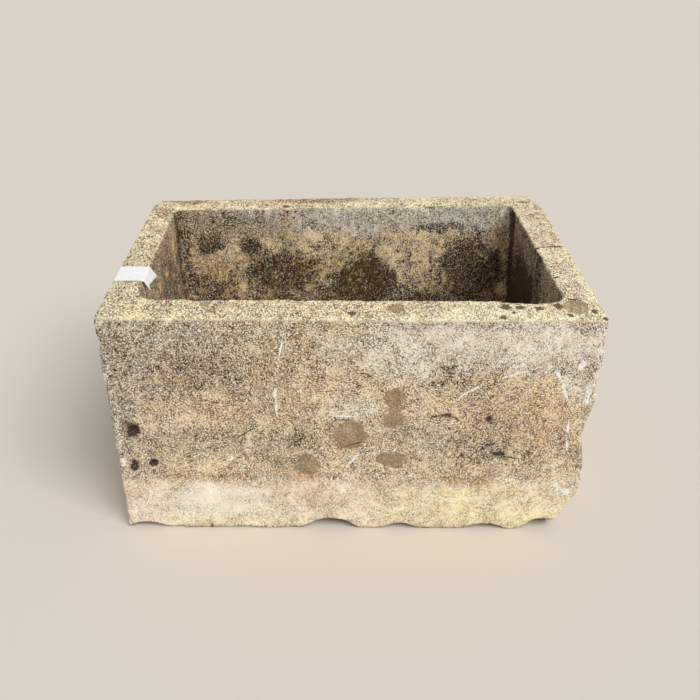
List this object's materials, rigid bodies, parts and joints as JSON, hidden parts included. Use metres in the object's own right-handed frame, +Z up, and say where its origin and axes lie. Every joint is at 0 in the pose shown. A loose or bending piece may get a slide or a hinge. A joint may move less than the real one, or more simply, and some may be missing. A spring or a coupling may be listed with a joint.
{
  "type": "stone trough planter",
  "caption": "Antique rectangular stone trough, hewn from one block, with a level rim, a deep open hollow, a drain through its floor and a rough, scalloped foot.",
  "frame": {"origin": "on the ground under the middle of the trough's bounding box", "axes": "+Z up, +X along the long sides towards the end with the deeper plan, -Y out of the long front"},
  "size_m": [0.8088, 0.5644, 0.4327],
  "materials": {
    "stone": "weathered, hewn, matt",
    "label_tape": "matt"
  },
  "bodies": {
    "root": {"trough_block": "stone", "tape_label": "label_tape"}
  },
  "joints": []
}
